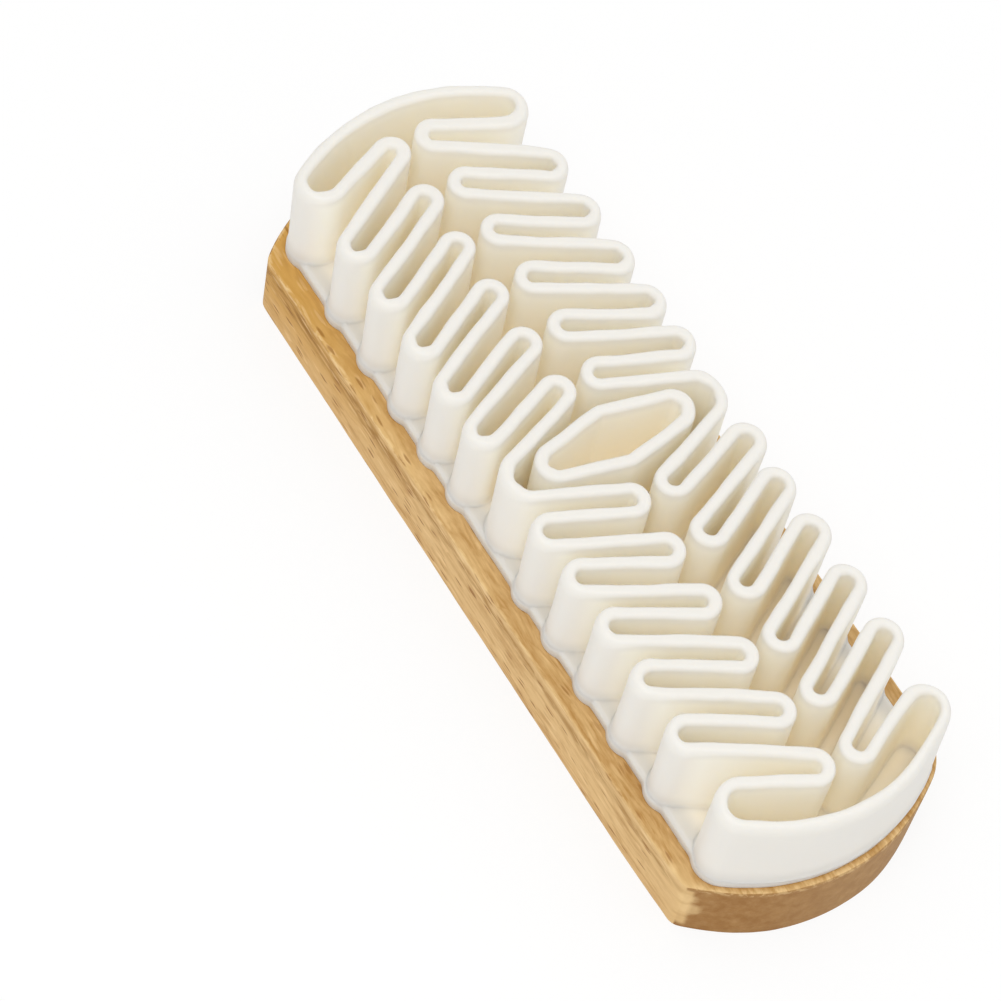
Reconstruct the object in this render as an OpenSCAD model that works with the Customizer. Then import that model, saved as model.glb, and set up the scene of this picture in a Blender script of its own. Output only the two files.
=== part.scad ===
// Suede brush: a beech block with a pad of natural crepe rubber.
// It lies on its flat wooden back with the crepe up, length along X and width along Y.
// The origin is the middle of the flat back. All sizes are in millimetres.

/* [Wooden block] */
// Length of the block from end to end
length = 150; // [140:1:165]
// Width of the block
width = 50; // [46:0.5:56]
// Thickness of the block
block_t = 14; // [10:0.5:20]
// How far each curved end stands out past the straight sides
end_rise = 10; // [8:0.25:12]
// Radius of the four upright corners
corner_r = 3; // [1.5:0.25:5]
// Radius of the softened edges round both faces
edge_r = 0.8; // [0.4:0.1:1.2]

/* [Crepe pad] */
// Thickness of the glue between the wood and the crepe
glue_t = 0.2; // [0.1:0.05:0.5]
// How far the glue stops short of the edge of the sheet
glue_inset = 0.6; // [0.2:0.1:1.5]
// Thickness of the crepe base sheet
sheet_t = 2.2; // [1.5:0.1:3]
// Height of the crepe walls above the sheet
wall_h = 18.1; // [12:0.1:24]
// Thickness of the crepe walls
wall_t = 2.15; // [1.7:0.05:2.4]
// Bare wood left between the sheet and the curved end of the block
end_margin = 1.6; // [1:0.1:3]
// Bare wood left between the outer turns and the long side of the block
side_margin = 3.35; // [2:0.05:5]
// How far the sheet stands out past the end arcs
sheet_lip = 0.3; // [0.1:0.05:0.6]
// How far the sheet stands out past each outer turn
scallop_lip = 0.6; // [0.2:0.05:0.8]
// How far the sheet is drawn back between the outer turns
scallop_draw = 0.35; // [0.1:0.05:0.8]

/* [Winding] */
// Fingers in each quarter of the pad
fingers = 6; // [5:1:6]
// Slot inside a finger, at its inner tip
finger_slot = 2.15; // [1.7:0.05:2.4]
// Slot between two fingers, at its outer turn
between_slot = 2.65; // [2.2:0.05:2.9]
// Gap between the inner tips of the two rows
channel_w = 1.75; // [1.2:0.05:3]
// How much wider each step between inner tips is than the one before
tip_growth = 0.12; // [0:0.02:0.3]
// How much wider each step between outer turns is than the one before
turn_growth = 0.5; // [0:0.05:0.6]
// Inside radius of the turns where the ribbon meets the end arcs
end_turn_r = 2.3; // [1.8:0.1:2.8]
// Inside radius of the wide turns at the middle of each long side
mid_turn_r = 2.9; // [2.4:0.1:3.4]
// How far the wide middle turns stay inside the line of the others
mid_setback = 0.85; // [0:0.05:1.5]
// Gap between the middle turn and its neighbour
mid_gap = 1.75; // [1.4:0.05:2.2]
// Gap between the end turn and its neighbour
end_gap = 5.6; // [4.5:0.1:6]

/* [Centre ring] */
// Width of the ring over its two blunt corners
ring_w = 12.2; // [10:0.1:13]
// Inside radius of its round ends
ring_end_r = 1.6; // [1:0.1:2]
// Inside radius of its blunt corners
ring_side_r = 1.2; // [0.8:0.1:2]
// Gap between the ring and the middle turns
ring_end_gap = 4; // [3:0.1:5]
// Gap between the ring and the nearest fingers
ring_side_gap = 1.9; // [1.5:0.05:2.5]

/* [Hidden] */
$fn = 96;

beech = [0.80, 0.62, 0.40];
glue = [0.86, 0.80, 0.62];
crepe = [0.95, 0.93, 0.87];

// Curved end of the block: radius and the distance of its centre from the middle
end_r = (pow(width / 2, 2) + pow(end_rise, 2)) / (2 * end_rise);
end_cx = length / 2 - end_r;

// Heights of the layers
glue_z = block_t;
sheet_z = glue_z + glue_t;
wall_z = sheet_z + sheet_t;

// Centre line radii of the ribbon
tip_r = (finger_slot + wall_t) / 2;
turn_r = (between_slot + wall_t) / 2;
last_r = end_turn_r + wall_t / 2;
mid_r = mid_turn_r + wall_t / 2;
sheet_r = end_r - end_margin;
arc_r = sheet_r - sheet_lip - wall_t / 2;

// How far the outer face of the turns reaches from the middle line
reach = width / 2 - side_margin;
turn_y = reach - wall_t / 2 - turn_r;
mid_y = reach - mid_setback - wall_t / 2 - mid_r;
last_y = reach - wall_t / 2 - last_r;
tip_y = channel_w / 2 + tip_r + wall_t / 2;

// The end turn touches the end arc from inside
last_x = end_cx + sqrt(pow(arc_r - last_r, 2) - pow(last_y, 2));
last_a = atan2(last_y, last_x - end_cx);

// Tips and turns along the length, in steps that grow towards the ends
tip_first = ring_w / 2 + ring_side_gap + tip_r + wall_t / 2;
tip_last = last_x;
turn_first = mid_r + turn_r + wall_t + mid_gap;
turn_last = last_x - last_r - turn_r - wall_t - end_gap;
function growth(k) = k * (k - 1) / 2;
function spread(first, last, steps, grow, k) =
    first + k * (last - first - grow * growth(steps)) / steps + grow * growth(k);
tips = [for (k = [0 : fingers - 1]) spread(tip_first, tip_last, fingers - 1, tip_growth, k)];
turns = [for (k = [0 : fingers - 2]) spread(turn_first, turn_last, fingers - 2, turn_growth, k)];

// Bends as [x, y, radius, side]. Side is 1 where the wall turns clockwise, as it does round an
// outer turn, and -1 where it turns the other way, round the tip of a finger.
quarter = [for (k = [0 : fingers - 1]) each [
    [tips[k], tip_y, tip_r, -1],
    k < fingers - 1 ? [turns[k], turn_y, turn_r, 1] : [last_x, last_y, last_r, 1]]];
function mirrored(list, sx, sy) = [for (b = list) [sx * b[0], sy * b[1], b[2], b[3]]];
function backwards(list) = [for (i = [1 : len(list)]) list[len(list) - i]];

// The ribbon runs clockwise, from the middle of one long side right round the pad
ribbon_bends = concat(
    [[0, mid_y, mid_r, 1]], quarter,
    [[end_cx, 0, arc_r, 1]], backwards(mirrored(quarter, 1, -1)),
    [[0, -mid_y, mid_r, 1]], mirrored(quarter, -1, -1),
    [[-end_cx, 0, arc_r, 1]], backwards(mirrored(quarter, -1, 1)));

// The centre ring runs clockwise round two end circles and two corner circles
round_r = ring_end_r + wall_t / 2;
round_y = mid_y + mid_r - wall_t - ring_end_gap - round_r;
side_r = ring_side_r + wall_t / 2;
side_x = (ring_w - wall_t) / 2 - side_r;
ring_bends = [[0, round_y, round_r, 1], [side_x, 0, side_r, 1],
    [0, -round_y, round_r, 1], [-side_x, 0, side_r, 1]];

// Where round pieces run on smoothly into others, one of the two reaches into the other by lap
// and stays a hair inside its faces, so that they join cleanly
lap = 0.06;
hair = 0.005;

// Direction of the straight that touches bend a and then bend b
function heading(a, b) =
    let (g = [b[0] - a[0], b[1] - a[1]], lean = (a[2] * a[3] - b[2] * b[3]) / norm(g))
    atan2(g[1], g[0]) - asin(max(-1, min(1, lean)));

// Polar angle at which a wall with heading h touches bend b, and the point itself
function polar(b, h) = h + 90 * b[3];
function touch(b, h) = [b[0], b[1]] + b[2] * [cos(polar(b, h)), sin(polar(b, h))];

// An angle brought into the range from 0 to 360
function positive(a) = a - 360 * floor(a / 360);

// Flat pie slice from angle a0 to the larger angle a1, wide enough for a wall of outer radius r
module slice(a0, a1, r) {
    steps = 6;
    polygon(concat([[0, 0]], [for (k = [0 : steps])
        let (a = a0 + (a1 - a0) * k / steps) 1.2 * r * [cos(a), sin(a)]]));
}

// Round piece of wall on bend b, between a wall that comes in with heading h0 and one that
// leaves with heading h1
module bend_2d(b, h0, h1) {
    turned = positive(b[3] * (h0 - h1));
    from = b[3] > 0 ? polar(b, h1) : polar(b, h0);
    trim = lap / 2 / b[2] * 180 / PI;
    translate([b[0], b[1]]) intersection() {
        difference() {
            circle(r = b[2] + wall_t / 2);
            circle(r = b[2] - wall_t / 2);
        }
        slice(from + trim, from + turned - trim, b[2] + wall_t / 2);
    }
}

// Closed wall that runs round the bends of a list in order
module belt_2d(list) {
    steps = len(list);
    headings = [for (i = [0 : steps - 1]) heading(list[i], list[(i + 1) % steps])];
    for (i = [0 : steps - 1]) {
        h = headings[i];
        start = touch(list[i], h);
        run = norm(touch(list[(i + 1) % steps], h) - start);
        bend_2d(list[i], headings[(i + steps - 1) % steps], h);
        translate(start) rotate(h) translate([-lap, hair - wall_t / 2])
            square([run + 2 * lap, wall_t - 2 * hair]);
    }
}

// Copies of one quarter in all four quarters
module four_quarters() {
    for (mx = [0, 1], my = [0, 1])
        mirror([mx, 0]) mirror([0, my]) children();
}

module both_ends() {
    for (mx = [0, 1]) mirror([mx, 0]) children();
}

// Outline of the base sheet, smaller all round by inset. The discs under the end turns stay a
// hair inside the end arc.
module sheet_2d(inset = 0) {
    flat_y = reach - scallop_draw - inset;
    last_out = last_r + wall_t / 2 + sheet_lip - inset - hair;
    translate([-last_x, -flat_y]) square([2 * last_x, 2 * flat_y]);
    both_ends() translate([end_cx, 0]) intersection() {
        circle(r = sheet_r - inset);
        slice(-last_a, last_a, sheet_r);
    }
    four_quarters() {
        translate([last_x, last_y]) circle(r = last_out);
        for (x = turns)
            translate([x, turn_y]) circle(r = turn_r + wall_t / 2 + scallop_lip - inset);
    }
}

// Half of the block's section, out to r, with both outer edges softened, and inset all round
module half_section(r, inset = 0) {
    out = r - inset;
    high = block_t - 2 * inset;
    translate([0, inset]) {
        square([out - edge_r, high]);
        translate([0, edge_r]) square([out, high - 2 * edge_r]);
        for (z = [edge_r, high - edge_r])
            translate([out - edge_r, z]) circle(r = edge_r);
    }
}

// Straight middle, one round slice for each end and one puck for each corner. The pucks stay a
// hair inside the faces of the pieces that they join.
module handle_block() {
    corner_y = width / 2 - corner_r;
    corner_x = end_cx + sqrt(pow(end_r - corner_r, 2) - pow(corner_y, 2));
    corner_a = atan2(corner_y, corner_x - end_cx);
    color(beech) {
        translate([-corner_x, 0, 0]) rotate([90, 0, 90]) linear_extrude(2 * corner_x)
            both_ends() half_section(width / 2);
        both_ends() translate([end_cx, 0, 0]) rotate(-corner_a)
            rotate_extrude(angle = 2 * corner_a) half_section(end_r);
        four_quarters() translate([corner_x, corner_y, 0])
            rotate_extrude() half_section(corner_r, hair);
    }
}

module glue_film() {
    color(glue) translate([0, 0, glue_z]) linear_extrude(glue_t) sheet_2d(glue_inset);
}

module crepe_base() {
    color(crepe) translate([0, 0, sheet_z]) linear_extrude(sheet_t) sheet_2d();
}

module crepe_ribbon() {
    color(crepe) translate([0, 0, wall_z]) linear_extrude(wall_h) belt_2d(ribbon_bends);
}

module crepe_centre_ring() {
    color(crepe) translate([0, 0, wall_z]) linear_extrude(wall_h) belt_2d(ring_bends);
}

handle_block();
glue_film();
crepe_base();
crepe_ribbon();
crepe_centre_ring();
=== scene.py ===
import math

import bpy
import numpy as np
from mathutils import Matrix, Vector, noise


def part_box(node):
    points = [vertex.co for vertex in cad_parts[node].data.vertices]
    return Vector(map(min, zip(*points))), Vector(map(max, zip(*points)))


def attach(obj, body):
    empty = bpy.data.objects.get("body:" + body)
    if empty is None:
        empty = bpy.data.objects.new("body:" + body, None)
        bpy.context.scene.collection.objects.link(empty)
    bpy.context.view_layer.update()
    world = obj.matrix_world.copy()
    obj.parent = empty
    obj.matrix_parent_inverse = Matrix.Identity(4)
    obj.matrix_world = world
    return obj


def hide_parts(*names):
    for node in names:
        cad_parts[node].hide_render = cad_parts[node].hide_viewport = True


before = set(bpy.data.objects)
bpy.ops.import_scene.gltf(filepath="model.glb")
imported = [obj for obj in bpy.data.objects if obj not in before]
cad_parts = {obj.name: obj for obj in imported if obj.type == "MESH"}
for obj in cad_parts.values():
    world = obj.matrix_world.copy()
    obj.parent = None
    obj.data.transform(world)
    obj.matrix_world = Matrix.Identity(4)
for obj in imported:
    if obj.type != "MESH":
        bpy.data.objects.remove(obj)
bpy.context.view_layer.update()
mm = 0.001
imageWidth = 1001
print("frame loaded:", ", ".join(sorted(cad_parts)))


# Camera and lamps

view = {
    "place": (200.6 * mm, -207.8 * mm, 479.3 * mm),
    "target": (-5.66 * mm, -15.52 * mm, 17 * mm),
    "roll": 13.66,                # degrees
    "focalPixels": 3368,          # focal length counted in pixels of the picture
    "sensor": 36,                 # millimetres
    "clip": (0.01, 20),
}


def makeCamera():
    data = bpy.data.cameras.new("camera")
    data.sensor_width = view["sensor"]
    data.lens = view["sensor"] * view["focalPixels"] / imageWidth
    data.clip_start, data.clip_end = view["clip"]
    camera = bpy.data.objects.new("camera", data)
    place, target = Vector(view["place"]), Vector(view["target"])
    turn = (target - place).to_track_quat("-Z", "Y").to_matrix().to_4x4()
    camera.matrix_world = turn @ Matrix.Rotation(math.radians(view["roll"]), 4, "Z")
    camera.location = place
    bpy.context.scene.collection.objects.link(camera)
    bpy.context.scene.camera = camera


lamps = {
    # place, size and power of each round soft box; both aim at the brush
    "key": {"place": (0.22, -0.38, 0.98), "size": 0.55, "power": 3.4, "colour": (1, 0.99, 0.97)},
    "fill": {"place": (0.10, 0.55, 0.85), "size": 0.9, "power": 1.1, "colour": (0.98, 0.99, 1)},
}


def makeLamp(name, lamp):
    data = bpy.data.lights.new(name, "AREA")
    data.shape = "DISK"
    data.size = lamp["size"]
    data.energy = lamp["power"]
    data.color = lamp["colour"]
    thing = bpy.data.objects.new(name, data)
    thing.location = lamp["place"]
    thing.rotation_euler = (-Vector(lamp["place"])).to_track_quat("-Z", "Y").to_euler()
    bpy.context.scene.collection.objects.link(thing)


# Shader helpers

class Signal:
    # One output socket, with the arithmetic that surfaces are mixed from
    def __init__(self, finish, socket):
        self.finish, self.socket = finish, socket

    def math(self, operation, *values):
        sockets = dict(enumerate((self,) + values))
        return self.finish.node("ShaderNodeMath", {"operation": operation}, sockets)

    def swapped(self, operation, first):
        return self.finish.node("ShaderNodeMath", {"operation": operation}, {0: first, 1: self})

    def __add__(self, other):
        return self.math("ADD", other)

    def __radd__(self, other):
        return self.swapped("ADD", other)

    def __sub__(self, other):
        return self.math("SUBTRACT", other)

    def __rsub__(self, other):
        return self.swapped("SUBTRACT", other)

    def __mul__(self, other):
        return self.math("MULTIPLY", other)

    def __rmul__(self, other):
        return self.swapped("MULTIPLY", other)

    def __truediv__(self, other):
        return self.math("DIVIDE", other)

    def __rtruediv__(self, other):
        return self.swapped("DIVIDE", other)


class Finish:
    # One material and its node tree
    def __init__(self, name):
        self.material = bpy.data.materials.new(name)
        self.material.use_nodes = True
        self.tree = self.material.node_tree
        self.tree.nodes.clear()

    def node(self, kind, settings=None, sockets=None, output=0):
        made = self.tree.nodes.new(kind)
        for key, value in (settings or {}).items():
            setattr(made, key, value)
        for key, value in (sockets or {}).items():
            if isinstance(value, Signal):
                self.tree.links.new(value.socket, made.inputs[key])
            else:
                made.inputs[key].default_value = value
        return Signal(self, made.outputs[output]) if made.outputs else None

    def vector(self, operation, *values, output=0):
        sockets = dict(enumerate(values))
        return self.node("ShaderNodeVectorMath", {"operation": operation}, sockets, output)

    def axis(self, vector, name):
        return self.node("ShaderNodeSeparateXYZ", {}, {0: vector}, name)

    def place(self, stretch=(1, 1, 1), shift=(0, 0, 0)):
        # Where a point lies on the brush, in stretched millimetres
        spot = self.node("ShaderNodeTexCoord", output="Object")
        scale = tuple(s / mm for s in stretch)
        return self.vector("MULTIPLY_ADD", spot, scale, shift)

    def facing(self):
        return self.node("ShaderNodeTexCoord", output="Normal")

    def toEnd(self, spot):
        # Distance in plan from the middle of the nearer end arc
        folded = self.vector("ABSOLUTE", spot)
        folded = self.vector("MULTIPLY_ADD", folded, (1, 1, 0), (-endCentre / mm, 0, 0))
        folded = self.vector("MAXIMUM", folded, (0, 0, 0))
        return self.vector("LENGTH", folded, output="Value")

    def cloud(self, where, scale=1.0, detail=2.0, roughness=0.5, twist=0.0):
        return self.node("ShaderNodeTexNoise", {}, {
            "Vector": where, "Scale": scale, "Detail": detail,
            "Roughness": roughness, "Distortion": twist})

    def fade(self, value, low, high):
        # 0 below low, 1 above high
        return self.node("ShaderNodeMapRange", {"interpolation_type": "SMOOTHSTEP"},
                         {"Value": value, "From Min": low, "From Max": high})

    def blend(self, amount, first, second):
        return self.node("ShaderNodeMix", {"data_type": "RGBA"},
                         {0: amount, 6: asColour(first), 7: asColour(second)}, output=2)

    def attribute(self, name):
        return self.node("ShaderNodeAttribute", {"attribute_name": name}, output="Fac")

    def bump(self, height, distance, strength):
        return self.node("ShaderNodeBump", {},
                         {"Height": height, "Distance": distance, "Strength": strength})

    def surface(self, **sockets):
        named = {key.replace("_", " "): value for key, value in sockets.items()}
        shader = self.node("ShaderNodeBsdfPrincipled", {}, named)
        self.node("ShaderNodeOutputMaterial", {}, {"Surface": shader})
        return self.material


def asColour(value):
    return value if isinstance(value, Signal) else (*value, 1)


# Mesh helpers

def makePiece(name, points, faces, **values):
    # A mesh object from points, faces and named values for each point
    mesh = bpy.data.meshes.new(name)
    mesh.from_pydata([tuple(p) for p in points], [], faces)
    for key, value in values.items():
        layer = mesh.attributes.new(key, "FLOAT", "POINT")
        layer.data.foreach_set("value", np.asarray(value, np.float32))
    mesh.polygons.foreach_set("use_smooth", [True] * len(mesh.polygons))
    mesh.update()
    thing = bpy.data.objects.new(name, mesh)
    bpy.context.scene.collection.objects.link(thing)
    return thing


def skin(rings, size, closed):
    # Quads between rings of `size` points; the last ring joins the first where closed
    faces = []
    for i in range(rings if closed else rings - 1):
        a, b = i * size, (i + 1) % rings * size
        faces += [(a + k, a + (k + 1) % size, b + (k + 1) % size, b + k) for k in range(size)]
    return faces


def stacked(rings):
    # Points and faces of a solid from its rings, the lowest first, closed below and above
    count, size = len(rings), len(rings[0])
    faces = skin(count, size, False)
    faces.append(tuple(range(size))[::-1])
    faces.append(tuple(range((count - 1) * size, count * size)))
    return np.vstack(rings), faces


def flatRing(line, z):
    return np.column_stack([line, np.full(len(line), z)])


def swept(line, away, profile):
    # A solid whose edge follows a line; each row of the profile is an inset and a height
    return stacked([flatRing(line - away * inset, z) for inset, z in profile])


def ripple(points, span, seed):
    # Smooth noise from -1 to 1 at each point; span is the size of one wave
    shift = Vector((seed * 17.3, seed * 5.1, seed * 9.7))
    return np.array([noise.noise(Vector(p) / span + shift) for p in points])


def ease(value, low, high):
    t = np.clip((value - low) / (high - low), 0, 1)
    return t * t * (3 - 2 * t)


def spaced(line, gap):
    # Points at even steps along a closed line
    loop = np.vstack([line, line[:1]])
    run = np.concatenate([[0], np.cumsum(np.linalg.norm(np.diff(loop, axis=0), axis=1))])
    steps = np.linspace(0, run[-1], int(run[-1] / gap), endpoint=False)
    return np.stack([np.interp(steps, run, loop[:, k]) for k in (0, 1)], 1)


def softened(line, reach):
    # A closed line of even steps, averaged over `reach` neighbours on each side
    offsets = range(-reach, reach + 1)
    weights = np.array([math.cos(0.5 * math.pi * k / (reach + 1)) ** 2 for k in offsets])
    total = sum(w * np.roll(line, -k, axis=0) for k, w in zip(offsets, weights))
    return total / weights.sum()


def softValues(values, reach):
    return softened(values[:, None], reach)[:, 0]


def outward(line):
    # Unit normals of a closed line that runs anticlockwise
    along = np.roll(line, -1, axis=0) - np.roll(line, 1, axis=0)
    along /= np.linalg.norm(along, axis=1)[:, None]
    return np.stack([along[:, 1], -along[:, 0]], 1)


def arc(centre, radius, angles):
    return [(centre[0] + radius * math.cos(a), centre[1] + radius * math.sin(a)) for a in angles]


# Floor and world

room = {
    "colour": (1, 1, 1),
    "strength": 0.725,
    "floorSpan": 6,
    "floorColour": (0.97, 0.97, 0.97),
    "lift": 0.82,                 # share of plain white in the floor as the camera sees it
}


def makeRoom():
    world = bpy.data.worlds.new("studio")
    world.use_nodes = True
    back = world.node_tree.nodes["Background"]
    back.inputs["Color"].default_value = asColour(room["colour"])
    back.inputs["Strength"].default_value = room["strength"]
    bpy.context.scene.world = world

    finish = Finish("floor")
    seen, gloss, through = (finish.node("ShaderNodeLightPath", output=f"Is {kind} Ray")
                            for kind in ("Camera", "Glossy", "Transmission"))
    seen = seen.math("MAXIMUM", gloss.math("MAXIMUM", through))
    matte = finish.node("ShaderNodeBsdfDiffuse", {}, {"Color": asColour(room["floorColour"])})
    glow = finish.node("ShaderNodeEmission", {}, {"Color": asColour(room["colour"]), "Strength": 1})
    mixed = finish.node("ShaderNodeMixShader", {}, {0: seen * room["lift"], 1: matte, 2: glow})
    finish.node("ShaderNodeOutputMaterial", {}, {"Surface": mixed})

    half = room["floorSpan"] / 2
    corners = [(-half, -half, 0), (half, -half, 0), (half, half, 0), (-half, half, 0)]
    floor = makePiece("floor", np.array(corners), [(0, 1, 2, 3)])
    floor.data.materials.append(finish.material)


# Boxes that the pieces are fitted to, all from the frame

blockLow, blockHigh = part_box("handle_block")
sheetLow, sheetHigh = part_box("crepe_base")
wallLow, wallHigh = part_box("crepe_ribbon")
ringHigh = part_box("crepe_centre_ring")[1]


# Beech block

block = {
    "length": blockHigh.x - blockLow.x,
    "width": blockHigh.y - blockLow.y,
    "thickness": blockHigh.z - blockLow.z,
    "endRise": 10 * mm,           # how far the curved ends stand past the straight sides
    "corners": {(1, 1): 10 * mm, (-1, 1): 2.6 * mm, (-1, -1): 1.5 * mm, (1, -1): 3 * mm},
    "spacing": 0.3 * mm,          # distance between the points of the outline
    "lowerArris": 0.35 * mm,      # rounding of the lower and upper edges
    "upperArris": 0.5 * mm,
    "endArris": 0.15 * mm,        # added to both across the far end
    "nearArris": -0.15 * mm,      # and across the near end
    "endZone": (62 * mm, 68 * mm),
    "arrisWear": 0.3 * mm,        # how much the rounding varies, in long and short waves
    "arrisWaves": (6 * mm, 2.2 * mm),
    "arrisLimits": (0.2 * mm, 1.6 * mm),
    "arrisRings": 7,
    "sideRings": 12,
    "faceRim": 0.6 * mm,          # strip of the flat faces that is meshed beside the edges
    "wornBand": 0.8 * mm,         # pale band beside the upper edge: wear and painted highlight
    "nearDraft": 0.45 * mm,       # how far the near end leans in at its top
    "draftZone": (60 * mm, 69 * mm),
    "hollows": 0.07 * mm,         # depth and length of the slight waves left by sanding
    "hollowWave": 11 * mm,
}
# Where the sides are sanded back, or fuller where the depth is negative. It grows between
# these distances from the middle of the block, and the last one only counts where the wood
# faces along X
sandedBack = {
    "near": {"depth": 0.4 * mm, "x": (48 * mm, 68 * mm), "y": (10 * mm, 24 * mm)},
    "right": {"depth": 0.6 * mm, "x": (56 * mm, 70 * mm), "y": (6 * mm, 20 * mm)},
    "far": {"depth": -0.55 * mm, "x": (60 * mm, 68 * mm), "y": (6 * mm, 17 * mm)},
}
endRadius = (block["width"] ** 2 / 4 + block["endRise"] ** 2) / (2 * block["endRise"])
endCentre = block["length"] / 2 - endRadius


def blockLine():
    # Plan of the block, anticlockwise; every corner is sanded a little differently
    points = []
    for sx, sy in ((1, 1), (-1, 1), (-1, -1), (1, -1)):
        radius = block["corners"][(sx, sy)]
        cornerY = block["width"] / 2 - radius
        cornerX = endCentre + math.sqrt((endRadius - radius) ** 2 - cornerY ** 2)
        angle = math.atan2(cornerY, cornerX - endCentre)
        quarter = arc((endCentre, 0), endRadius, np.linspace(0, angle, 80)[:-1])
        quarter += arc((cornerX, cornerY), radius, np.linspace(angle, math.pi / 2, 16))
        quarter = np.array(quarter) * (sx, sy)
        points.append(quarter if sx == sy else quarter[::-1])
    return softened(spaced(np.vstack(points), block["spacing"]), 2)


def makeBlock():
    line = blockLine()
    away = outward(line)
    size = len(line)
    x, y = line[:, 0], line[:, 1]
    spots = flatRing(line, 0)
    atEnd = ease(np.abs(x), *block["endZone"])
    near, right, far = sandedBack["near"], sandedBack["right"], sandedBack["far"]
    easing = near["depth"] * ease(x, *near["x"]) * ease(-y, *near["y"])
    easing += right["depth"] * ease(x, *right["x"]) * ease(y, *right["y"])
    easing += far["depth"] * away[:, 0] ** 2 * ease(-x, *far["x"]) * ease(-y, *far["y"])
    draft = block["nearDraft"] * ease(x, *block["draftZone"])
    thick = block["thickness"]
    rows, worn = [], []

    def radiusAt(base, seed):
        # The rounding wanders, and is larger and rougher across the ends
        long, short = block["arrisWaves"]
        rough = ripple(spots, long, seed) + 0.5 * ripple(spots, short, seed + 1)
        added = np.where(x > 0, block["nearArris"], block["endArris"])
        radius = base + added * atEnd + block["arrisWear"] * rough * (0.4 + 0.3 * atEnd)
        return np.clip(radius, *block["arrisLimits"])

    lower, upper = radiusAt(block["lowerArris"], 7), radiusAt(block["upperArris"], 9)

    def addRing(inset, z, rubAndGlint):
        height = np.mean(z)
        hollow = 0.5 + 0.5 * ripple(flatRing(line, height), block["hollowWave"], 11)
        eased = easing * (1.1 - 0.5 * height / thick) + draft * height / thick
        back = inset + block["hollows"] * hollow + eased
        rows.append(np.column_stack([line - away * back[:, None], z]))
        worn.append(np.full(size, rubAndGlint))

    addRing(lower + block["faceRim"], np.zeros(size), 0)
    for a in np.radians(np.linspace(90, 0, block["arrisRings"])):
        addRing(lower * (1 - math.cos(a)), lower * (1 - math.sin(a)), math.sin(2 * a))
    # The rows below the upper edge and its rounding carry the painted highlight and wear
    band = block["wornBand"]
    for t in np.linspace(0, 1, block["sideRings"])[1:-1]:
        addRing(0 * lower, lower + (thick - lower - upper - band) * t, 0)
    for t, rubAndGlint in ((0, 0), (0.5, 0.6), (1, 1)):
        addRing(0 * upper, thick - upper - band * (1 - t), rubAndGlint)
    for a in np.radians(np.linspace(0, 90, block["arrisRings"] + 1)[1:]):
        rubAndGlint = math.cos(a) ** 0.5
        addRing(upper * (1 - math.cos(a)), thick - upper * (1 - math.sin(a)), rubAndGlint)
    addRing(upper + block["faceRim"], np.full(size, thick), 0)
    piece = makePiece("beechBlock", *stacked(rows), worn=np.concatenate(worn))
    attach(piece, "root")
    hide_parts("handle_block")
    return piece


# Winding of the crepe: bends are (x, y, radius, side), and side 1 turns clockwise

winding = {
    "fingers": 6,                 # in each quarter of the brush
    "fingerSlot": 2.15 * mm,      # open width inside a finger, and between two of them
    "betweenSlot": 2.65 * mm,
    "channel": 1.75 * mm,         # open width between the two rows
    "tipGrowth": 0.12 * mm,       # how much the pitch of the tips and turns grows outward
    "turnGrowth": 0.5 * mm,
    "endTurn": 2.3 * mm,          # inside radii
    "midTurn": 2.9 * mm,
    "midSetback": 0.85 * mm,
    "midGap": 1.75 * mm,
    "endGap": 5.6 * mm,
    "ringSideGap": 1.9 * mm,
    "ringEnd": 1.6 * mm,
    "ringSide": 1.2 * mm,
}
wall = {
    "thickness": 2.15 * mm,
    "uneven": 0.06,               # share by which the thickness varies, in long and short waves
    "unevenWaves": (7 * mm, 2.6 * mm),
    "bendStep": 0.42 * mm,        # distance between points in the bends and on the straight runs
    "straightStep": 0.85 * mm,
    "wideBend": 10 * mm,          # bends over this radius are stepped like straight runs
    "rim": (0.8 * mm, 0.85 * mm),         # rounding of the rim: width and height
    "outerRim": (1.3 * mm, 2.3 * mm),     # and where it faces out over the edge of the sheet
    "outerReach": (0.8 * mm, 2.2 * mm),   # from the one rounding to the other, from that edge in
    "pinch": 0.22 * mm,           # extra thickness inside the outer turns, beside their middle
    "pinchX": (-62 * mm, 2 * mm),
    "pinchY": 12 * mm,
    "foot": 0.5 * mm,             # width of the fillet onto the sheet
    "footHeight": 0.75 * mm,
    "root": 1.1 * mm,             # how deep the hidden root stands in the sheet
    "crown": 0.75 * mm,           # how much lower the rim is at the ends of the brush
    "dips": 0.09 * mm,            # how far the rim wanders down
    "dipWave": 8 * mm,
    "sway": 0.32 * mm,            # how far the rim wanders sideways
    "swayWave": 13 * mm,
    "shiver": 0.1 * mm,           # the same in shorter waves
    "shiverWave": 4 * mm,
    "swell": 0.09 * mm,           # unevenness of the faces
    "swellWave": 4.5 * mm,
}
skirt = {
    # The foot where a wall stands over the edge of the sheet and runs down its side
    "reach": (0.7 * mm, 1.2 * mm),        # how near to the edge that is
    "width": 1.2 * mm,
    "height": 1.6 * mm,
    "drop": 0.75 * mm,
    "thinDrop": 0.3 * mm,         # added to the drop where the skirt is narrow
    "fullAt": 0.6 * mm,           # distance to the edge that gives it its full width
    "shares": (0.3, 1.2),         # least and greatest share of that width
    "slant": 40,                  # degrees from upright at its lower end
}
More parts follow.
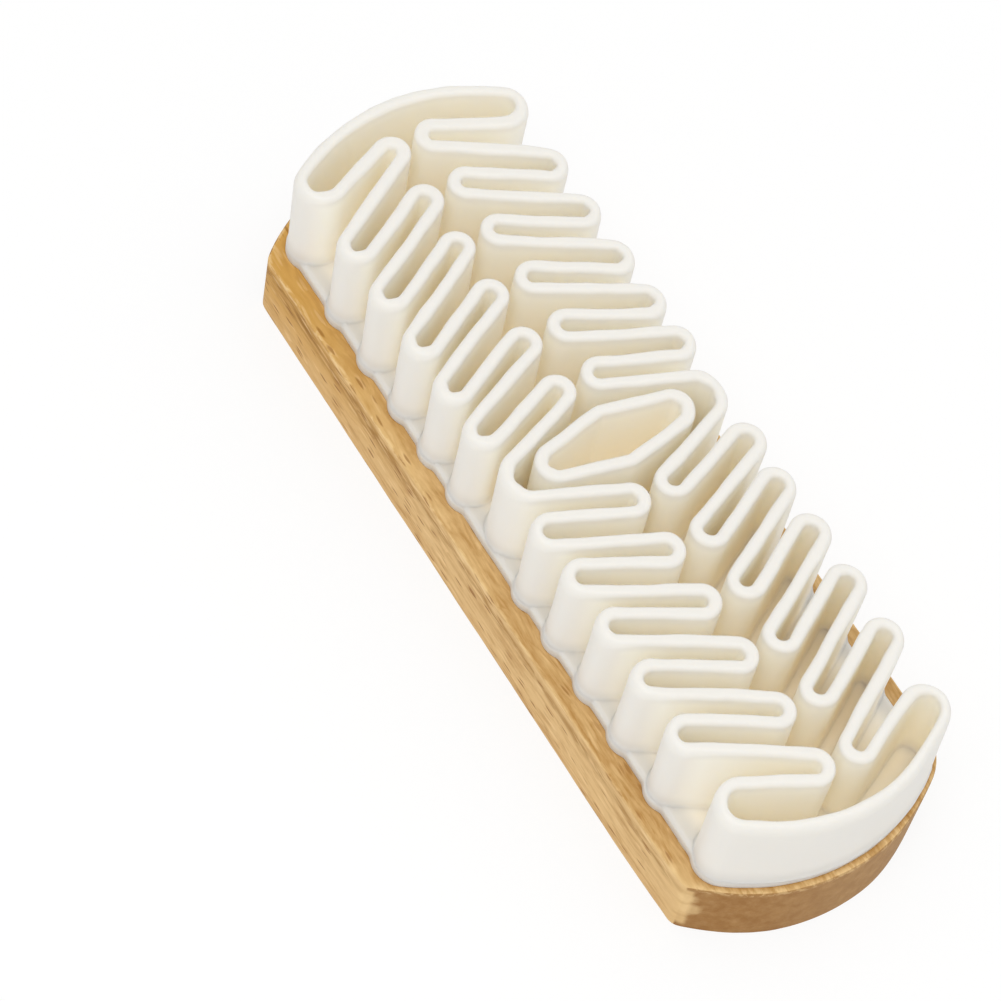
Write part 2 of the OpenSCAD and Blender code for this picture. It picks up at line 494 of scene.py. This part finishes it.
bentPlaces = [
    # The end turn at the right is thinner and leans in; the far arc is thicker and leans out
    {"spot": (69 * mm, 16 * mm), "reach": 15 * mm, "shift": (0.2 * mm, 0.15 * mm),
     "lean": (-0.75 * mm, -1.07 * mm), "thinner": 0.2},
    {"spot": (74 * mm, -2 * mm), "reach": 32 * mm, "shift": (0.25 * mm, 0),
     "lean": (0, 0), "thinner": 0},
    {"spot": (-73 * mm, 2 * mm), "reach": 30 * mm, "shift": (0, 0),
     "lean": (-0.3 * mm, 0.05 * mm), "thinner": -0.22},
    {"spot": (-63 * mm, 21 * mm), "reach": 11 * mm, "shift": (0, 0),
     "lean": (-0.3 * mm, 0.45 * mm), "thinner": -0.1},
]


def spread(first, last, steps, grow, k):
    # Place k of an evenly growing row from first to last
    rest = last - first - grow * steps * (steps - 1) / 2
    return first + k * rest / steps + grow * k * (k - 1) / 2


def planWinding():
    half, count = wall["thickness"] / 2, winding["fingers"]
    reach = wallHigh.y
    arcRadius = wallHigh.x - half - endCentre
    tipRadius = winding["fingerSlot"] / 2 + half
    turnRadius = winding["betweenSlot"] / 2 + half
    lastRadius, midRadius = winding["endTurn"] + half, winding["midTurn"] + half
    tipY = winding["channel"] / 2 + tipRadius + half
    turnY, lastY = reach - half - turnRadius, reach - half - lastRadius
    midY = reach - winding["midSetback"] - half - midRadius
    lastX = endCentre + math.sqrt((arcRadius - lastRadius) ** 2 - lastY ** 2)
    tipFirst = ringHigh.x + winding["ringSideGap"] + tipRadius + half
    turnFirst = midRadius + turnRadius + 2 * half + winding["midGap"]
    turnLast = lastX - lastRadius - turnRadius - 2 * half - winding["endGap"]
    quarter, turns = [], []
    for k in range(count):
        x = spread(tipFirst, lastX, count - 1, winding["tipGrowth"], k)
        quarter.append((x, tipY, tipRadius, -1))
        if k < count - 1:
            turns.append(spread(turnFirst, turnLast, count - 2, winding["turnGrowth"], k))
            quarter.append((turns[-1], turnY, turnRadius, 1))
    quarter.append((lastX, lastY, lastRadius, 1))

    def flipped(sx, sy):
        return [(sx * x, sy * y, r, side) for x, y, r, side in quarter]

    ribbon = [(0, midY, midRadius, 1), *quarter,
              (endCentre, 0, arcRadius, 1), *flipped(1, -1)[::-1],
              (0, -midY, midRadius, 1), *flipped(-1, -1),
              (-endCentre, 0, arcRadius, 1), *flipped(-1, 1)[::-1]]
    roundRadius, sideRadius = winding["ringEnd"] + half, winding["ringSide"] + half
    roundY, sideX = ringHigh.y - half - roundRadius, ringHigh.x - half - sideRadius
    ring = [(0, roundY, roundRadius, 1), (sideX, 0, sideRadius, 1),
            (0, -roundY, roundRadius, 1), (-sideX, 0, sideRadius, 1)]
    return {"ribbon": ribbon, "ring": ring, "turns": turns, "turnY": turnY,
            "turnRadius": turnRadius, "last": (lastX, lastY, lastRadius), "reach": reach}


plan = planWinding()


def heading(a, b):
    # Direction of the straight run from bend a to bend b
    across, up = b[0] - a[0], b[1] - a[1]
    lean = (a[2] * a[3] - b[2] * b[3]) / math.hypot(across, up)
    return math.atan2(up, across) - math.asin(max(-1, min(1, lean)))


def walkBelt(bends):
    # Points along the middle of a closed wall, the direction that it faces on its left, and how
    # far each has come round its bend, from 0 to 1 and below 0 in the bends that turn left
    count = len(bends)
    headings = [heading(bends[i], bends[(i + 1) % count]) for i in range(count)]
    stations, turning = [], []

    def touch(bend, h):
        x, y, radius, side = bend
        return np.array([x - side * radius * math.sin(h), y + side * radius * math.cos(h)])

    for i, bend in enumerate(bends):
        come, leave, side = headings[i - 1], headings[i], bend[3]
        turned = side * (come - leave) % (2 * math.pi)
        step = wall["bendStep"] if bend[2] < wall["wideBend"] else wall["straightStep"]
        steps = max(4, round(turned * bend[2] / step))
        for k in range(steps):
            h = come - side * turned * k / steps
            stations.append((*touch(bend, h), h))
            turning.append(side * k / steps)
        start, stop = touch(bend, leave), touch(bends[(i + 1) % count], leave)
        steps = round(np.linalg.norm(stop - start) / wall["straightStep"])
        for k in range(steps):
            stations.append((*(start + (stop - start) * k / steps), leave))
            turning.append(0)
    stations = np.array(stations)
    left = np.stack([-np.sin(stations[:, 2]), np.cos(stations[:, 2])], 1)
    return stations[:, :2], left, np.array(turning)


# Sheet under the walls, and the glue line under it

sheet = {
    "lip": 0.3 * mm,              # past the end arcs
    "scallopLip": 0.6 * mm,       # past the outer turns
    "draw": 0.35 * mm,            # drawn back between the turns
    "edge": 0.9 * mm,             # rounding of the upper edge
    "underEdge": 0.15 * mm,
    "faceRim": 0.3 * mm,          # strip of the upper face that is meshed beside the edge
    "waves": 0.07 * mm,           # depth and length of the waves in its edge
    "waveLength": 5 * mm,
    "shrink": 0.03 * mm,
    "seam": 0.02 * mm,            # how far it stands off the wood
    "fineStep": 0.1 * mm,         # steps along the scallops, and then along the whole edge
    "step": 0.2 * mm,
}


def sheetLine():
    # Edge of the sheet, anticlockwise: scalloped along the sides, round at the ends
    lastX, lastY, lastRadius = plan["last"]
    half = wall["thickness"] / 2
    flat = plan["reach"] - sheet["draw"]
    scallop = plan["turnRadius"] + half + sheet["scallopLip"]
    lastOut = lastRadius + half + sheet["lip"]
    endOut = wallHigh.x + sheet["lip"] - endCentre
    endAngle = math.atan2(lastY, lastX - endCentre)
    flatAngle = math.pi / 2 + math.acos((flat - lastY) / lastOut)
    right = arc((endCentre, 0), endOut, np.linspace(0, endAngle, 60))
    right += arc((lastX, lastY), lastOut, np.linspace(endAngle, flatAngle, 30))
    top = []
    for x in np.arange(right[-1][0], 0, -sheet["fineStep"]):
        near = [x - t for t in plan["turns"] if abs(x - t) < scallop]
        rises = [plan["turnY"] + math.sqrt(scallop ** 2 - off ** 2) for off in near]
        top.append((x, max([flat] + rises)))
    quarter = np.array(right + top)
    side = np.vstack([quarter, quarter[::-1] * (-1, 1)])
    line = spaced(np.vstack([side, side[::-1] * (1, -1)]), sheet["step"])
    return softened(line, 3)[::2]


def makeSheet():
    line = sheetLine()
    away = outward(line)
    waves = sheet["waves"] * ripple(flatRing(line, 0), sheet["waveLength"], 5)
    line = line + away * (waves - sheet["shrink"])[:, None]
    low, high = blockHigh.z + sheet["seam"], sheetHigh.z
    edge, under = sheet["edge"], sheet["underEdge"]
    profile = [(4 * under, low), (under, low), (0.3 * under, low + 0.3 * under), (0, low + under)]
    profile += [(0, z) for z in np.linspace(low + under, high - edge, 5)[1:-1]]
    profile += [(edge * (1 - math.cos(a)), high - edge * (1 - math.sin(a)))
                for a in np.linspace(0, math.pi / 2, 8)]
    profile += [(edge + sheet["faceRim"], high)]
    piece = makePiece("crepeSheet", *swept(line, away, profile))
    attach(piece, "root")
    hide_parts("crepe_base")
    return piece


glueLine = {
    "inset": 0.15 * mm,           # how far its edge lies inside the sheet's, and wanders
    "wander": 0.3 * mm,
    "wanderLength": 3.5 * mm,
    "bulge": 0.08 * mm,
    "faceRim": 2 * mm,
    "seam": 0.004 * mm,           # how far it stands off the wood
    "lap": 0.02 * mm,             # how far it reaches up into the sheet
}


def makeGlue():
    # The glue shows as a thin line that wanders in and out under the edge of the sheet
    line = sheetLine()
    away = outward(line)
    wander = glueLine["wander"] * ripple(flatRing(line, 0), glueLine["wanderLength"], 6)
    line = line + away * (wander - glueLine["inset"])[:, None]
    low, high = blockHigh.z + glueLine["seam"], sheetLow.z + glueLine["lap"]
    rim, bulge = glueLine["faceRim"], glueLine["bulge"]
    profile = [(rim, low), (bulge, low), (0, (low + high) / 2), (bulge, high), (rim, high)]
    piece = makePiece("glueLine", *swept(line, away, profile))
    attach(piece, "root")
    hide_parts("glue_film")
    return piece


# Walls of crepe

def nearest(points, line):
    # Distance from each point to a line given as close points
    return np.array([np.sqrt(((line - p) ** 2).sum(1).min()) for p in points])


def wallSide(half, top, rim, lip, floorZ):
    # One side of the wall's section, from its hidden root up to the rim, as (out, up) arrays.
    # Inland the foot runs out flat on the sheet; over the edge of the sheet it is a skirt.
    over = 1 - ease(lip, *skirt["reach"])
    share = np.clip(lip / skirt["fullAt"], *skirt["shares"])
    wide = wall["foot"] * (1 - over) + skirt["width"] * share * over
    high = wall["footHeight"] * (1 - over) + skirt["height"] * over
    drop = (skirt["drop"] + skirt["thinDrop"] * (1 - share)) * over
    slant = skirt["slant"] * over
    rimWide, rimHigh = rim
    out = [half + wide * (1 - over) * 0.98 + 0.1 * mm * over]     # just inside the foot
    up = [np.full_like(top, floorZ - wall["root"])]
    for t in np.linspace(0, 1, 7):
        angle = np.radians(slant + (90 - slant) * t)
        out.append(half + wide * (1 - np.sin(angle)))
        up.append(floorZ - drop + high * (1 - np.cos(angle)) - 0.01 * mm)     # no gap below
    start, finish = up[-1], top - rimHigh
    for t in np.linspace(0, 1, 9)[1:-1]:
        out.append(half + 0 * top)
        up.append(start + (finish - start) * t)
    for angle in np.radians(np.linspace(0, 90, 9)):
        out.append(half - rimWide * (1 - math.cos(angle)))
        up.append(finish + rimHigh * math.sin(angle))
    return np.stack(out, 1), np.stack(up, 1)


def makeWall(name, bends, node):
    middle, left, turning = walkBelt(bends)
    x, y = middle[:, 0], middle[:, 1]
    floorZ, edge = wallLow.z, sheetLine()
    spots = flatRing(middle, 0)
    bent = [1 - ease(np.linalg.norm(middle - place["spot"], axis=1), 0, place["reach"])
            for place in bentPlaces]
    long, short = wall["unevenWaves"]
    uneven = wall["uneven"] * (ripple(spots, long, 12) + ripple(spots, short, 13))
    half = wall["thickness"] / 2 * (1 + uneven)
    for place, amount in zip(bentPlaces, bent):
        half *= 1 - place["thinner"] * amount
    first, last = wall["pinchX"]
    outerTurn = (turning > 0) & (np.abs(y) > wall["pinchY"]) & (x > first) & (x < last)
    pinch = softValues(wall["pinch"] * outerTurn * np.sin(2 * math.pi * turning) ** 2, 2)
    crown = wall["crown"] * np.abs(x / wallHigh.x) ** 5
    top = wallHigh.z - crown - wall["dips"] * (1 + ripple(spots, wall["dipWave"], 1))
    sides = []
    for sign in (1, -1):
        lip = nearest(middle + sign * left * wall["thickness"] / 2, edge)
        outer = softValues(1 - ease(lip, *wall["outerReach"]), 6)
        rim = [a + (b - a) * outer for a, b in zip(wall["rim"], wall["outerRim"])]
        rim[0] = np.minimum(rim[0], half * (0.85 + 0.25 * outer))     # about to its middle at most
        sides.append(wallSide(half + pinch * (sign < 0), top, rim, lip, floorZ))
    (outL, upL), (outR, upR) = sides
    out = np.hstack([outL, -outR[:, ::-1]])
    up = np.hstack([upL, upR[:, ::-1]])
    size = out.shape[1]
    points = np.dstack([middle[:, None, 0] + left[:, None, 0] * out,
                        middle[:, None, 1] + left[:, None, 1] * out, up]).reshape(-1, 3)
    rise = np.clip((points[:, 2] - floorZ) / (wallHigh.z - floorZ), 0, 1)
    spots = np.repeat(spots, size, axis=0)
    for axis, seed in ((0, 2), (1, 3)):
        points[:, axis] += wall["sway"] * ripple(spots, wall["swayWave"], seed) * rise ** 1.4
        points[:, axis] += wall["shiver"] * ripple(spots, wall["shiverWave"], seed + 20) * rise
        for place, amount in zip(bentPlaces, bent):
            moved = place["shift"][axis] + place["lean"][axis] * rise
            points[:, axis] += np.repeat(amount, size) * moved
    side = np.repeat(left, size, axis=0) * np.sign(out).reshape(-1, 1)
    swell = wall["swell"] * ripple(points * (1, 1, 0.5), wall["swellWave"], 4)
    points[:, :2] += side * (swell * ease(rise, 0.02, 0.2))[:, None]
    piece = makePiece(name, points, skin(len(middle), size, True))
    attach(piece, "root")
    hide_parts(node)
    return piece


# Finishes; lengths without mm are millimetres on the brush, and a pair is where a change begins
# and ends

crepeLook = {
    "rubber": (0.825, 0.805, 0.76),       # rims and outer faces
    "inside": (0.965, 0.938, 0.86),       # painted light with a warmer tint, on the walls between the folds
    "deep": (0.985, 0.943, 0.85),         # the same painted light, lower down
    # painted shade: grey tone at the foot of the walls and on the sheet's edge
    "sheetEdgeShade": (0.675, 0.655, 0.615),
    "floor": (0.90, 0.85, 0.74),          # painted shade on the sheet between the walls, inside the folds
    "roughness": 0.5,
    "shine": 0.35,
    "scatter": 0.45,              # light that goes into the rubber, how far, and in what tint
    "scatterReach": 2.2 * mm,
    "scatterTint": (1.0, 0.94, 0.82),
    "grain": 0.02 * mm,
    # heights above the back of the block
    "underRim": (31.5, 34.3),
    "deepHeight": (18.0, 27.0),
    "footHeight": (14.6, 20.0),
    "floorShadeHeight": (16.2, 18.0),
    # distances in from the edge of the sheet
    "inland": (2.5, 7.0),
    "insideFrom": 0.8,
    "insideSide": 5.0,            # the painted inside light is full this far in from the sides
    "insideCorner": 1.8,          # and so much sooner near the ends, from here on
    "cornerX": (56.0, 62.0),
    "insideEnd": 2.5,
}


def crepeFinish():
    look = crepeLook
    finish = Finish("crepe")
    spot = finish.place()
    x, y, height = (finish.axis(spot, name) for name in "XYZ")
    mottle = finish.cloud(spot, 0.12, 3)
    fine = finish.cloud(spot, 2.4, 3, 0.6)
    low = 1 - finish.fade(height, *look["underRim"])
    fromSide = sheetHigh.y / mm - y.math("ABSOLUTE")
    fromEnd = sheetHigh.x / mm - finish.toEnd(spot) - endCentre / mm
    corner = finish.fade(x.math("ABSOLUTE"), *look["cornerX"])
    sideReach = look["insideSide"] - corner * look["insideCorner"]
    inner = finish.fade(fromSide, look["insideFrom"], sideReach)
    inner = inner * finish.fade(fromEnd, look["insideFrom"], look["insideEnd"])
    # Painted light: under the rims and inside the folds the tone turns brighter and warmer than the
    # rubber, lifting the shade there
    inside = finish.blend(finish.fade(height, *look["deepHeight"]), look["deep"], look["inside"])
    insideLightShare = low * (0.05 + inner * 0.95) + (mottle - 0.5) * 0.12
    tint = finish.blend(insideLightShare, look["rubber"], inside)
    upward = finish.fade(finish.axis(finish.facing(), "Z"), 0.3, 1.0)
    inland = finish.fade(fromSide.math("MINIMUM", fromEnd), *look["inland"])
    # Painted shade: a darker grey low down near the edge of the sheet, stronger on faces that look
    # up
    foot = (1 - finish.fade(height, *look["footHeight"])) * (1 - inland) * (0.7 + upward * 0.4)
    tint = finish.blend(foot, tint, look["sheetEdgeShade"])
    # Painted shade: the sheet deep between the walls is darker, standing in for the walls' shadow
    floorShadeShare = (1 - finish.fade(height, *look["floorShadeHeight"])) * inland
    tint = finish.blend(floorShadeShare, tint, look["floor"])
    return finish.surface(
        Base_Color=tint, Roughness=look["roughness"] + (fine - 0.5) * 0.15,
        Normal=finish.bump(fine, look["grain"], 0.5),
        Subsurface_Weight=look["scatter"], Subsurface_Scale=look["scatterReach"],
        Subsurface_Radius=look["scatterTint"], Specular_IOR_Level=look["shine"])


beechLook = {
    "light": (0.75, 0.505, 0.23),
    "dark": (0.48, 0.255, 0.075),
    "golden": (0.64, 0.35, 0.08),         # towards the far end
    "streak": (0.34, 0.155, 0.018),
    "stainAndShade": (0.46, 0.235, 0.06),         # glue stain and painted contact shadow on the upper face beside the sheet
    "endLeft": (0.33, 0.158, 0.046),      # end grain, from the left to the right of the near end
    "endRight": (0.375, 0.205, 0.08),
    "worn": (0.90, 0.65, 0.33),           # pale edges and corners: sanded wear and painted highlight
    "roughness": 0.52,
    "shine": 0.12,
    "relief": 0.06 * mm,
    "heart": (0, 46, -64),                # a point on the heart of the tree
    "ringWidth": 4.6,
    "streakHeight": 11.3,         # a darker streak along the front side, just under its arris
    "streakWidth": 1.15,
}
# Layers of grain: stretch along x, y and z, detail, roughness and twist
grains = {
    "fibre": ((0.08, 1.8, 1.8), 4, 0.65),
    "lines": ((0.19, 0.95, 0.95), 4, 0.6, 0.5),
    "broad": ((0.04, 0.4, 0.4), 2),
    "patch": ((0.3, 0.8, 0.8), 3, 0.6),
    "chips": ((0.3, 0.9, 0.9), 3, 0.6),
    "bend": ((0.35, 0.3, 0.4), 1),
}
# Short dashes along the grain; `empty` is the share of cells without one. The pale ones are painted
# highlights on the fibres, the dark ones flecks
dashes = {
    # pale dashes: painted highlights along the grain
    "paleGlint": {"stretch": (0.20, 0.30, 0.9), "size": 0.44, "empty": 0.6,
               "strength": 0.38, "colour": (0.92, 0.66, 0.34)},
    "softFleck": {"stretch": (0.18, 0.28, 0.75), "size": 0.44, "empty": 0.66,
                  "strength": 0.5, "colour": (0.46, 0.235, 0.06)},
    # pale dashes in the streak: painted highlights
    "bandGlint": {"stretch": (0.16, 0.8, 1.5), "size": 0.46, "empty": 0.55,
              "strength": 0.4, "colour": (0.92, 0.66, 0.34), "height": (7.0, 12.0)},
    "fleck": {"stretch": (0.25, 0.42, 1.35), "size": 0.42, "empty": 0.77,
              "strength": 0.8, "colour": (0.29, 0.11, 0.018)},
}
# Sanding of the near corner: where the side's wood goes round onto the end, where the marks
# fade out, and the centre and reach of its pale spots, which are sanded wear and painted highlight
sanding = {
    "cornerX": (60.0, 64.0),
    "cornerY": (-23.6, -22.8),
    "cornerZ": (12.6, 13.4),
    "cornerSlope": (-11.2, -9.8),         # of z + y / 2
    "calmX": (58.0, 65.0),
    "calmY": (-23.5, -20.5),
    "spots": [((61.2, -24.8, 13.6), 1.5), ((66.0, -24.6, 10.2), 2.6), ((66.6, -23.8, 6.8), 2.6)],
    "spotEdge": 1.3,
    "spotStrength": 0.45,
}


def dashMask(finish, where, size, empty):
    sockets = {"Vector": where, "Scale": 1.0, "Randomness": 0.9}
    cells = finish.node("ShaderNodeTexVoronoi", {}, sockets, output="Distance")
    lot = finish.node("ShaderNodeTexVoronoi", {}, sockets, output="Color")
    chance = finish.node("ShaderNodeSeparateColor", {}, {0: lot}, output="Red")
    return (1 - finish.fade(cells, size * 0.45, size)) * finish.fade(chance, empty, empty + 0.08)


def beechFinish():
    look = beechLook
    finish = Finish("beech")
    fade, blend = finish.fade, finish.blend
    spot = finish.place()
    x, y, z = (finish.axis(spot, name) for name in "XYZ")

    # Year rings round the heart of the tree
    drift = finish.cloud(finish.place((0.012, 0.09, 0.09)), 1.0, 2)
    fromHeart = finish.place((0, 1, 1), tuple(-v for v in look["heart"]))
    radius = finish.vector("LENGTH", fromHeart, output="Value")
    rings = ((radius + drift * 7.0) / look["ringWidth"]).math("FRACT")
    late = fade(rings, 0.35, 0.95) * (1 - fade(rings, 0.95, 1.0))

    # The fibres run along X, and wander up to 2 mm to the side
    wander = (finish.cloud(finish.place((0.05, 0.12, 0.12)), 1.0, 2) - 0.5) * 4.0
    aside = finish.node("ShaderNodeCombineXYZ", {}, {"Y": wander, "Z": wander})
    grainSpot = finish.vector("ADD", spot, aside)

    def grain(name):
        stretch, *rest = grains[name]
        return finish.cloud(finish.vector("MULTIPLY", grainSpot, stretch), 1.0, *rest)

    fibre, lines, broad, patch = (grain(name) for name in ("fibre", "lines", "broad", "patch"))
    wave = finish.cloud(finish.place((0.16, 0.16, 0.16)), 1.0, 2)
    speckle = finish.cloud(finish.place((0.4, 0.4, 0.4)), 1.0, 4, 0.65)

    # Masks by the way that the surface faces, and at the near corner
    facing = finish.facing()
    turned = finish.axis(facing, "X").math("ABSOLUTE")
    upward = fade(finish.axis(facing, "Z"), 0.6, 0.95)
    level = fade(finish.axis(facing, "Z").math("ABSOLUTE"), 0.6, 0.64)
    corner = fade(x, *sanding["cornerX"])
    corner = corner * (1 - fade(y + (speckle - 0.5) * 0.7, *sanding["cornerY"]))
    corner = corner * (1 - fade(z, *sanding["cornerZ"]))
    corner = corner * fade(z + y * 0.5, *sanding["cornerSlope"])
    calm = 1 - fade(x, *sanding["calmX"]) * (1 - fade(y, *sanding["calmY"])) * 0.7
    endOn = fade(turned + (patch - 0.5) * 0.14, 0.46, 0.58) * (1 - corner * 0.9)

    # Ground tone from the grain, and painted shade that darkens the upward faces, more towards the
    # near end
    toneAndTopShade = late * 0.28 + (fibre - 0.5) * 1.3 + (broad - 0.5) * 0.8 + (patch - 0.5) * 1.0
    toneAndTopShade = toneAndTopShade + fade(lines, 0.5, 0.68) * 0.3 + upward * (0.12 + fade(x, -25.0, 60.0) * 0.36)
    wood = blend(toneAndTopShade.math("MAXIMUM", 0.0) * calm, look["light"], look["dark"])
    golden = (1 - fade(x, -66.0, -5.0)) * (0.35 + fade(z, 2.0, 9.0) * 0.55)
    wood = blend(golden, wood, look["golden"])

    # Dark streak along the front side, wider towards the far end
    leftward = 1 - fade(x, -50.0, 0.0)
    offStreak = z - look["streakHeight"] + (wave - 0.5) * 1.6 + leftward * 0.5
    offStreak = offStreak / look["streakWidth"] / (1 + leftward * 0.9)
    streak = (0 - offStreak * offStreak).math("EXPONENT") * (1 - fade(y, -24.6, -21.0))
    streak = streak * (0.66 + leftward * 0.3) * (0.35 + fade(lines, 0.36, 0.6) * 0.7)
    wood = blend(streak * calm, wood, look["streak"])

    # Dashes, thin across the grain on every face: Y and Z change places on the flat ones
    asideOnly = (1 - upward * 0.2 - endOn * 0.8) * calm
    lift = finish.node("ShaderNodeCombineXYZ", {}, {"Z": (grain("bend") - 0.5) * 0.7})
    bent = finish.vector("ADD", grainSpot, lift)
    masks = {}
    for name, dash in dashes.items():
        stretch, trade = dash["stretch"], dash["stretch"][2] - dash["stretch"][1]
        where = finish.vector("MULTIPLY", bent, stretch)
        swap = finish.vector("MULTIPLY", bent, (0, trade, -trade))
        where = finish.vector("MULTIPLY_ADD", swap, level, where)
        masks[name] = dashMask(finish, where, dash["size"], dash["empty"]) * asideOnly
        if "height" in dash:
            masks[name] = masks[name] * fade(z, *dash["height"])
        wood = blend(masks[name] * dash["strength"], wood, dash["colour"])

    # Glue stain and painted contact shadow beside the sheet, stronger at the near end
    toEnd = finish.toEnd(spot)
    sheetEnd = (wallHigh.x + sheet["lip"] - endCentre) / mm
    clear = fade(y.math("ABSOLUTE"), 22.4, 23.7)
    clear = clear.math("MAXIMUM", fade(toEnd, sheetEnd + 0.1, sheetEnd + 0.9))
    stainAndShade = upward * (1 - clear) * fade(lines, 0.38, 0.56) * (0.35 + fade(x, 62.0, 68.0) * 0.35)
    wood = blend(stainAndShade, wood, look["stainAndShade"])

    # End grain, then the pale edges and corners: sanded wear and painted highlight
    endTone = blend(fade(y, -18.0, 2.0), look["endLeft"], look["endRight"])
    wood = blend(endOn * (0.55 + speckle * 0.7), wood, endTone)
    # Painted highlight and wear along the upper arris and across the top of the near end, broken
    # into pieces
    chips = fade(grain("chips"), 0.46, 0.6)
    edgeBand = fade(toEnd, endRadius / mm - 1.9, endRadius / mm - 0.7)
    edgeBand = edgeBand * upward * fade(x, 56.0, 66.0)
    worn = finish.attribute("worn") * (0.12 + chips * 0.88) * (0.74 - fade(x, -30.0, 25.0) * 0.3)
    worn = worn.math("MAXIMUM", edgeBand * (0.12 + chips * 0.55))
    # Pale spots at the near corner: sanded wear and painted highlight on the lit corner
    for centre, size in sanding["spots"]:
        away = finish.vector("DISTANCE", spot, centre, output="Value") + (speckle - 0.5) * 1.5
        pale = (1 - fade(away, size - sanding["spotEdge"], size)) * sanding["spotStrength"]
        worn = worn.math("MAXIMUM", pale)
    wood = blend(worn, wood, look["worn"])

    relief = (fibre * 0.4 + lines * 0.5) * calm - masks["fleck"] * 0.2
    return finish.surface(
        Base_Color=wood, Roughness=look["roughness"] + (fibre - 0.5) * 0.25 + endOn * 0.12,
        Normal=finish.bump(relief, look["relief"], 0.5), Specular_IOR_Level=look["shine"])


glueLook = {
    "dark": (0.62, 0.47, 0.26),
    "light": (0.78, 0.68, 0.46),
    "roughness": 0.4,
    "relief": 0.05 * mm,
}


def glueFinish():
    look = glueLook
    finish = Finish("glue")
    beads = finish.cloud(finish.place(), 0.9, 3)
    return finish.surface(
        Base_Color=finish.blend(beads, look["dark"], look["light"]),
        Roughness=look["roughness"] + beads * 0.2,
        Normal=finish.bump(beads, look["relief"], 0.4))


makeCamera()
makeRoom()
for lampName, lamp in lamps.items():
    makeLamp(lampName, lamp)
print("camera, room and lamps made")

woodPiece = makeBlock()
woodPiece.data.materials.append(beechFinish())
print("block made:", len(woodPiece.data.vertices), "points")

crepe = crepeFinish()
pad = [makeSheet(), makeWall("crepeRibbon", plan["ribbon"], "crepe_ribbon"),
       makeWall("crepeRing", plan["ring"], "crepe_centre_ring")]
for piece in pad:
    piece.data.materials.append(crepe)
    print(piece.name, "made:", len(piece.data.vertices), "points")

glue = makeGlue()
glue.data.materials.append(glueFinish())
print("glue line made:", len(glue.data.vertices), "points")

scene = bpy.context.scene
scene.view_settings.view_transform = "Standard"
scene.cycles.max_bounces = 24     # light bounces often between pale walls
scene.cycles.diffuse_bounces = 24
